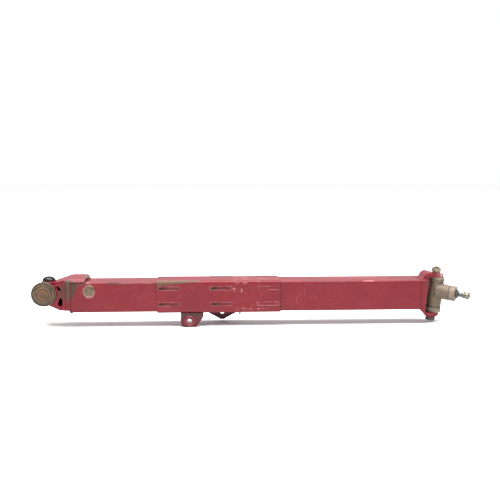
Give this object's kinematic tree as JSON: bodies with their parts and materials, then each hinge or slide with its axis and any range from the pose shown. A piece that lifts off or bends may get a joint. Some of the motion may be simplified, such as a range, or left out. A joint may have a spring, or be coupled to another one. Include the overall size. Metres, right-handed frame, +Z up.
{
  "type": "telescopic hydraulic cylinder",
  "caption": "Square-tube telescopic hydraulic strut with slotted guide sleeve, two under-lugs, an eye head with a turning hub, and a king-pin swivel oil inlet.",
  "frame": {"origin": "on the ground plane, under the middle of the retracted strut's box", "axes": "+X along the tubes towards the king pin and oil inlet, -X the way the strut extends, -Y the side of the linkage lug and the hub face, +Z up"},
  "size_m": [1.2042, 0.1108, 0.1577],
  "materials": {
    "red_paint": "worn crimson gloss enamel",
    "seal_rubber": "matt nitrile rubber",
    "bearing_bronze": "plain bearing bronze",
    "worn_cast_steel": "bare steel with a dusty brown film",
    "zinc_steel": "dulled zinc plate",
    "dark_steel": "dark oiled steel",
    "cylinder_steel": "honed tube steel",
    "hard_chrome": "ground hard chrome",
    "black_plastic": "satin black plastic",
    "nylon": "natural nylon"
  },
  "bodies": {
    "base": {"outer_tube": "red_paint", "guide_sleeve": "red_paint", "guide_pads_front": "red_paint", "guide_pads_back": "red_paint", "guide_pads_top": "red_paint", "guide_pads_bottom": "red_paint", "plug_welds": "red_paint", "linkage_lug": "red_paint", "lug_bush": "red_paint", "stay_lug": "red_paint", "sleeve_grease_nipple": "zinc_steel", "base_yoke": "red_paint", "gallery_plug": "dark_steel", "king_pin": "dark_steel", "king_pin_washer": "zinc_steel", "king_pin_nut": "zinc_steel", "barrel_base": "dark_steel", "barrel_base_seal": "seal_rubber", "barrel_tube": "cylinder_steel", "barrel_gland": "dark_steel", "barrel_gland_seal": "seal_rubber", "barrel_wiper": "seal_rubber", "barrel_spacers": "nylon"},
    "stage": {"stage_tube": "cylinder_steel", "stage_bearing_ring": "bearing_bronze", "stage_seal": "seal_rubber", "stage_gland": "dark_steel", "stage_wiper": "seal_rubber"},
    "rod": {"inner_tube": "red_paint", "plunger": "hard_chrome", "plunger_bearing_ring": "bearing_bronze", "plunger_seal": "seal_rubber", "plunger_spacers": "nylon", "head_end_plate": "worn_cast_steel", "plunger_bolt": "dark_steel", "head_top_strap": "red_paint", "head_bottom_strap": "red_paint", "head_front_cheek": "red_paint", "head_back_cheek": "red_paint", "head_eye": "red_paint", "eye_bush": "bearing_bronze", "grease_cap": "black_plastic"},
    "hub": {"pivot_hub": "worn_cast_steel", "hub_thrust_seal": "seal_rubber", "hub_retaining_washer": "dark_steel", "hub_retaining_ring": "dark_steel"},
    "knuckle": {"swivel_block": "worn_cast_steel", "lower_bush": "bearing_bronze", "upper_bush": "bearing_bronze", "lower_thrust_washer": "worn_cast_steel", "upper_thrust_washer": "worn_cast_steel", "branch_collar": "worn_cast_steel", "branch_seal": "seal_rubber"},
    "spindle": {"inlet_spindle": "zinc_steel", "nipple_seal": "seal_rubber", "coupler_nipple": "zinc_steel", "poppet_spring": "zinc_steel"},
    "poppet": {"coupler_poppet": "zinc_steel"}
  },
  "joints": [
    {"name": "stage_extension", "type": "slide", "parent": "base", "child": "stage", "axis": [-1, 0, 0], "range_m": [0, 0.08]},
    {"name": "plunger_extension", "type": "slide", "parent": "stage", "child": "rod", "axis": [-1, 0, 0], "range_m": [0, 0.08]},
    {"name": "hub_turn", "type": "hinge", "parent": "rod", "child": "hub", "pos_m": [-0.5686, 0.0064, 0.0945], "axis": [0, -1, 0], "continuous": true},
    {"name": "knuckle_swivel", "type": "hinge", "parent": "base", "child": "knuckle", "pos_m": [0.5094, 0.0064, 0.0795], "axis": [0.1028, 0, 0.9947], "range_deg": [-40, 100]},
    {"name": "spindle_spin", "type": "hinge", "parent": "knuckle", "child": "spindle", "pos_m": [0.51043, 0.0064, 0.08945], "axis": [0.8614, -0.5, -0.089], "continuous": true},
    {"name": "poppet_press", "type": "slide", "parent": "spindle", "child": "poppet", "axis": [-0.8614, 0.5, 0.089], "range_m": [0, 0.003], "stiffness_N_per_m": 400, "springref_m": -0.003, "deforming": ["poppet_spring"]}
  ]
}
